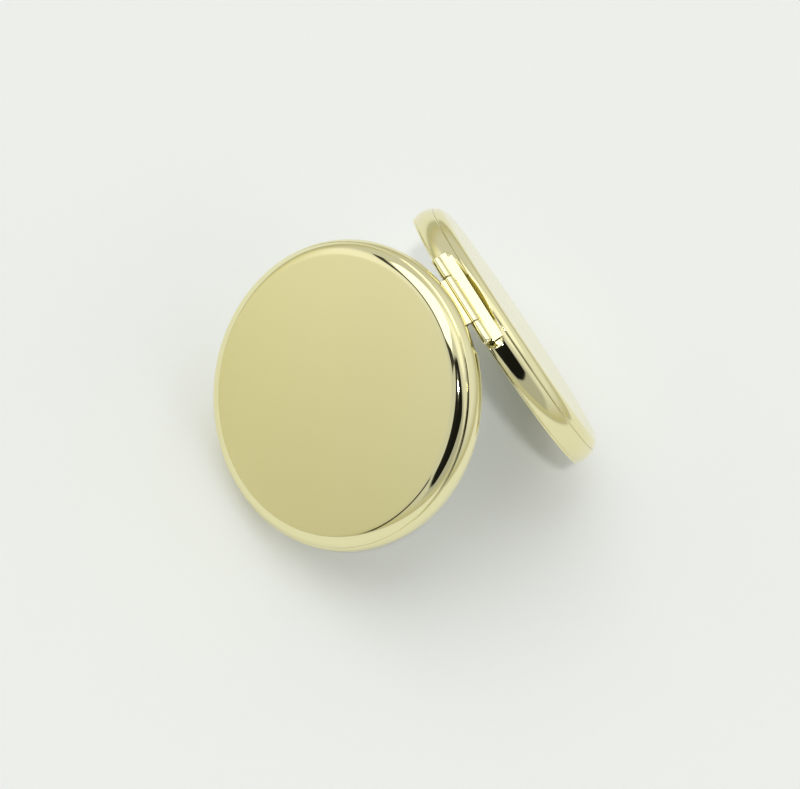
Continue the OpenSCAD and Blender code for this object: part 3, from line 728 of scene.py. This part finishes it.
def painted_pocket_shade(paint, where, place):
    """Mark: painted shade on the hinge pocket's slope, which is also rougher there."""
    height, face = height_and_face(paint, where, place)
    deep = 1 - paint.ramp_mm(from_middle(paint, where, place), 34.15, 34.3)
    return paint.ramp_mm(face - height, 1.8, 1.9) * deep, POCKET_SHADE_COLOUR, 0.15


def painted_gap_shade(paint, where, place):
    """Mark: painted shade, brown, in the gaps between the knuckles, on their side away from the base's flat
    face. It lies round a line that runs beside the hinge axis."""
    line = place(HINGE_X, 0.0, -HINGE_DROP)
    across, over = paint.dot(where, (1, 0, 0)) - line[0], paint.dot(where, (0, 0, 1)) - line[2]
    reach = (across * across + over * over) ** 0.5
    gap_y = (KNUCKLE_L + KNUCKLE_GAP) / 2 / MM_PER_M
    beside_gap = abs(abs(paint.dot(where, (0, 1, 0))) - gap_y)
    gap = (1 - paint.ramp_mm(beside_gap, 0.11, 0.2)) * (1 - paint.ramp_mm(reach, 1.3, 1.4))
    return gap, GAP_SHADE_COLOUR, 0.2


def steel():
    """Bare stamped spring steel with a drawn grain."""
    made, paint = material("spring_steel")
    where = paint.place()
    grain = paint.noise(paint.stretched(where, (400, 9000, 9000)), 1.0, 3.0)
    spots = paint.noise(where, 700.0, 3.0)
    colour = paint.mix(paint.ramp(spots, 0.4, 0.7), rgb("c4c6c8"), rgb("a9acaf"))
    paint.surface({"Base Color": colour, "Metallic": 1.0, "Roughness": 0.28 + grain * 0.15,
                   "Normal": paint.bump(grain, 0.2, 0.00003)})
    return made


def foam():
    """White closed-cell foam tape with small open pores on its cut edge."""
    made, paint = material("foam_tape")
    where = paint.place()
    cells = paint.node("ShaderNodeTexVoronoi", {}, {"Vector": where, "Scale": 4500.0}, "Distance")
    colour = paint.mix(paint.ramp(cells, 0.1, 0.6), rgb("c9c9c3"), rgb("ecebe6"))
    paint.surface({"Base Color": colour, "Roughness": 0.85, "Normal": paint.bump(cells, 0.5, 0.00008)})
    return made


def silvering():
    """Silvered glass seen from the front: bright, hardly tinted, with a trace of dust haze."""
    made, paint = material("silvered_glass")
    where = paint.place()
    dust = paint.noise(where, 350.0, 4.0, 0.7)
    colour = paint.mix(paint.ramp(dust, 0.4, 0.75), rgb("eef2f1"), rgb("e8edec"))
    rough = 0.012 + 0.006 * paint.ramp(dust, 0.5, 0.8)
    paint.surface({"Base Color": colour, "Metallic": 1.0, "Roughness": rough})
    return made


def glass_edge():
    """Ground edge of the mirror glass: pale green and frosted."""
    made, paint = material("ground_glass_edge")
    where = paint.place()
    grit = paint.noise(where, 5000.0, 3.0)
    colour = paint.mix(grit, rgb("b9cdc4"), rgb("dbe7e2"))
    paint.surface({"Base Color": colour, "Roughness": 0.4 + 0.2 * grit,
                   "Normal": paint.bump(grit, 0.3, 0.00002)})
    return made


base_plating = plating("base_plating", 0.045,
                       (satin_face, on_base), (painted_seam_shade, on_base), (painted_pocket_shade, on_base))
lid_plating = plating("lid_plating", 0.045, (satin_face, on_lid))
bright_plating = plating("hinge_plating", 0.05)
leaf_plating = plating("leaf_plating", 0.05, (painted_gap_shade, on_base))
tray_plating = plating("tray_plating", 0.07)
steel_finish, foam_finish, mirror_finish, edge_finish = steel(), foam(), silvering(), glass_edge()


# The object

def coat(made, finish):
    """Gives an object one finish in place of any that it has."""
    made.data.materials.clear()
    made.data.materials.append(finish)


def dress(made, finish, body, node):
    """Gives a piece its finish and body, and lets it stand for a CAD node."""
    coat(made, finish)
    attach(made, body)
    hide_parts(node)
    return made


def mirror_glass(name, place, is_flat, body, node):
    """Mirror glass turned about the half's own axis, silvered, but ground round its edge and on its back."""
    shape = skin(place(*spun(glass_profile(is_flat), GLASS_STEPS)))
    glass = dress(piece(name, *shape, sharp_from=30), mirror_finish, body, node)
    glass.data.materials.append(edge_finish)
    centres = np.zeros(len(glass.data.polygons) * 3)
    glass.data.polygons.foreach_get("center", centres)
    from_rim = (centres.reshape(-1, 3) - place(0.0, 0.0, 0.0)) * MM_PER_M
    across = np.linalg.norm(np.cross(from_rim, direction(place)), axis=1)
    depth = from_rim @ direction(place)
    is_ground = (across > MIRROR_R - GROUND_BAND) | (depth > PAD_TOP - GROUND_BAND)
    glass.data.polygons.foreach_set("material_index", is_ground.astype(np.int32))


def return_spring():
    """Return spring in the steel finish, on the base, with a mesh of its own."""
    spring = dress(coil(), steel_finish, "base", "latch_spring")
    press = on_base(1.0, 0.0, 0.0) - on_base(0.0, 0.0, 0.0)
    tuple(on_base(SPRING_X, 0.0, SPRING_W))
    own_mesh(spring)


dress(shell("base_case", on_base, True), base_plating, "base", "base_shell")
dress(shell("lid_case", on_lid, False), lid_plating, "lid", "lid_shell")
dress(tray("base_mirror_tray", on_base, True), tray_plating, "base", "base_tray")
dress(tray("lid_mirror_tray", on_lid, False), tray_plating, "lid", "lid_tray")
dress(base_leaf(), leaf_plating, "base", "base_hinge_leaf")
dress(lid_leaf(), leaf_plating, "lid", "lid_hinge_leaf")
dress(rivet_pair("base_leaf_rivet_pair", LEAF_T + SHELL_T, base_rivet_place), bright_plating,
      "base", "base_leaf_rivets")
dress(rivet_pair("lid_leaf_rivet_pair", TRAY_T + LEAF_T, lid_rivet_place), bright_plating,
      "lid", "lid_leaf_rivets")
dress(hinge_pin(), bright_plating, "base", "hinge_pin")
dress(button(), base_plating, "latch", "latch_button")
return_spring()
mirror_glass("base_mirror_glass", on_base, True, "base", "base_mirror")
mirror_glass("lid_mirror_glass", on_lid, False, "lid", "lid_mirror")

# CAD nodes that keep their shape
for finish, names in ((foam_finish, ("base_mirror_pad", "lid_mirror_pad")),
                      (steel_finish, ("latch_slide", "latch_guide", "latch_guide_rivets")),
                      (bright_plating, ("lid_hook", "lid_hook_rivets"))):
    for name in names:
        coat(nodes[name], finish)


# Floor, light and camera. Places in the sky are azimuth and elevation in degrees: azimuth 0 is -Y, 90 is +X

# Light of the sky at the horizon, and what is added higher up and on the two sides
SKY_LIGHT, RISE_LIGHT, LEFT_LIGHT, LEFT_RISE_LIGHT, RIGHT_LIGHT = 0.54, 0.12, 0.16, 0.2, 0.17
LEFT_SIDE, RIGHT_SIDE = (-138, 8), (75, 32)
# Share of green and of blue in it at the horizon, and what is added to them higher up
GREEN_SHARE, GREEN_RISE, BLUE_SHARE, BLUE_RISE = 0.967, 0.05, 0.633, 0.36
# Bright patches: the soft light high behind the object, and a fainter one to its right
OVERHEAD = ((175, 40), (-168, 37.5), (-132, 39), (-104, 42), (-93, 62), (-100, 80), (120, 78), (135, 55))
BESIDE = ((50, 50), (90, 46), (130, 52), (140, 72), (80, 84), (30, 72))
OVERHEAD_LIGHT, BESIDE_LIGHT = 1.05, 0.3
OVERHEAD_SOFT, BESIDE_SOFT = 0.025, 0.1
# Dark patches: the opening where the camera stands, a dim fringe to its right, and thin edges
OPENING = ((-76, 21), (-88, 62), (-30, 81), (8, 45), (-21, 28), (-37, 17), (-50, 17))
FRINGE = ((-50, 10), (5, 6), (24, 25), (20, 52), (-10, 68), (-50, 68))
THIN_EDGES = (((-92, -6), (-92, 15), (-83, 17), (-83, -6)),
              ((-168, 28), (-132, 31.5), (-132, 37.5), (-168, 34)),
              ((-132, 31.5), (-104, 34), (-104, 40), (-132, 37.5)),
              ((-108, 36), (-98, 59), (-85, 60), (-97, 35)))
OPENING_DARKNESS, FRINGE_DARKNESS, EDGE_DARKNESS = 0.98, 0.3, 0.93
OPENING_SOFT, FRINGE_SOFT, EDGE_SOFT = 0.03, 0.08, 0.012
# The lamp beside the camera: its place in the sky, its width in degrees and its strength
LAMP_PLACE, LAMP_WIDTH, LAMP_LIGHT = (-58, 61), 4, 0.7
# The camera: its place in metres, its turns about X, Y and Z in degrees, and its lens in millimetres
CAMERA_PLACE, CAMERA_TURNS = (-0.184746, -0.128339, 0.347875), (30.579, -15.431, -30.471)
CAMERA_LENS, CAMERA_SENSOR = 76.1643, 36.0


def floor():
    """Pale paper floor, 6 metres wide, with painted shade that darkens it away from the object, and sooner
    behind it.
    """
    half = 3.0
    corners = np.array([[-half, -half, 0], [half, -half, 0], [half, half, 0], [-half, half, 0]])
    made = piece("studio_floor", corners, [np.array([[0, 1, 2, 3]])])
    paper, paint = material("floor_paper")
    where = paint.place()
    colour = paint.mix(paint.noise(where, 900.0, 4.0), rgb("edefec"), rgb("eff0ee"))
    away = paint.node("ShaderNodeVectorMath", {"operation": "LENGTH"}, [where], "Value")
    # Painted shade: the paper turns darker away from the object, and sooner behind it
    colour = paint.mix(paint.ramp(away, 0.3, 0.8), colour, rgb("c4c2b6"))
    colour = paint.mix(paint.ramp(paint.dot(where, (0, 1, 0)), 0.17, 0.42), colour, rgb("c0c0ae"))
    paint.surface({"Base Color": colour, "Roughness": 0.75, "Specular IOR Level": 0.2})
    coat(made, paper)


def towards(azimuth, elevation):
    """Direction of a place in the sky."""
    a, e = math.radians(azimuth), math.radians(elevation)
    return np.array([math.sin(a) * math.cos(e), -math.cos(a) * math.cos(e), math.sin(e)])


def patch(paint, way, corners, soft):
    """Share inside a many-sided patch of the sky. Each side is a great circle through two corners, and a
    direction is inside where it is on the inner side of all."""
    corners = [towards(*corner) for corner in corners]
    inner = sum(corners)
    share = None
    for one, two in zip(corners, corners[1:] + corners[:1]):
        normal = np.cross(one, two)
        normal *= np.sign(normal @ inner) / np.linalg.norm(normal)
        step = paint.ramp(paint.dot(way, normal), -soft, soft)
        share = step if share is None else share * step
    return share


def sky():
    """World by direction: dim and warm near the horizon, paler higher up and on two sides, with a soft light
    high behind the object, a dark opening where the camera stands, and thin dark edges. Where the camera
    sees past the floor there is a plain pale backdrop."""
    world = bpy.data.worlds.new("studio_world")
    world.use_nodes = True
    bpy.context.scene.world = world
    paint = Paint(world.node_tree)
    way = paint.node("ShaderNodeTexCoord", {}, {}, "Generated")
    up = paint.dot(way, (0, 0, 1))
    rise = paint.ramp(up, -0.08, 0.3)
    left = paint.ramp(paint.dot(way, towards(*LEFT_SIDE)), 0.8, 0.97)
    right = paint.ramp(paint.dot(way, towards(*RIGHT_SIDE)), 0.55, 0.9) * paint.ramp(up, 0.1, 0.5)
    light = SKY_LIGHT + RISE_LIGHT * rise + RIGHT_LIGHT * right
    light = light + left * (LEFT_LIGHT + LEFT_RISE_LIGHT * rise)
    light = light + OVERHEAD_LIGHT * patch(paint, way, OVERHEAD, OVERHEAD_SOFT)
    light = light + BESIDE_LIGHT * patch(paint, way, BESIDE, BESIDE_SOFT)
    light = light * (1 - FRINGE_DARKNESS * patch(paint, way, FRINGE, FRINGE_SOFT))
    light = light * (1 - OPENING_DARKNESS * patch(paint, way, OPENING, OPENING_SOFT))
    for corners in THIN_EDGES:
        light = light * (1 - EDGE_DARKNESS * patch(paint, way, corners, EDGE_SOFT))
    green, blue = GREEN_SHARE + GREEN_RISE * rise, BLUE_SHARE + BLUE_RISE * rise
    colour = paint.node("ShaderNodeCombineColor", {}, [light, light * green, light * blue])
    seen = paint.node("ShaderNodeLightPath", {}, {}, "Is Camera Ray")
    backdrop = paint.mix(seen, colour, rgb("e4e4de"))
    shade = paint.node("ShaderNodeBackground", {}, {"Color": backdrop, "Strength": 1.0})
    paint.node("ShaderNodeOutputWorld", {}, {"Surface": shade})


def lamp():
    """Small soft lamp beside the camera."""
    made = bpy.data.objects.new("camera_lamp", bpy.data.lights.new("camera_lamp", "SUN"))
    bpy.context.scene.collection.objects.link(made)
    made.data.energy = LAMP_LIGHT
    made.data.angle = math.radians(LAMP_WIDTH)
    made.matrix_world = Vector(towards(*LAMP_PLACE)).to_track_quat("Z", "Y").to_matrix().to_4x4()


def camera():
    """Camera at the photograph's viewing angle."""
    made = bpy.data.objects.new("camera", bpy.data.cameras.new("camera"))
    bpy.context.scene.collection.objects.link(made)
    turn = Euler([math.radians(degrees) for degrees in CAMERA_TURNS])
    made.matrix_world = Matrix.Translation(CAMERA_PLACE) @ turn.to_matrix().to_4x4()
    made.data.sensor_width = CAMERA_SENSOR
    made.data.lens = CAMERA_LENS
    made.data.clip_start, made.data.clip_end = 0.01, 20.0
    bpy.context.scene.camera = made


floor()
sky()
lamp()
camera()
bpy.context.scene.view_settings.view_transform = "Standard"
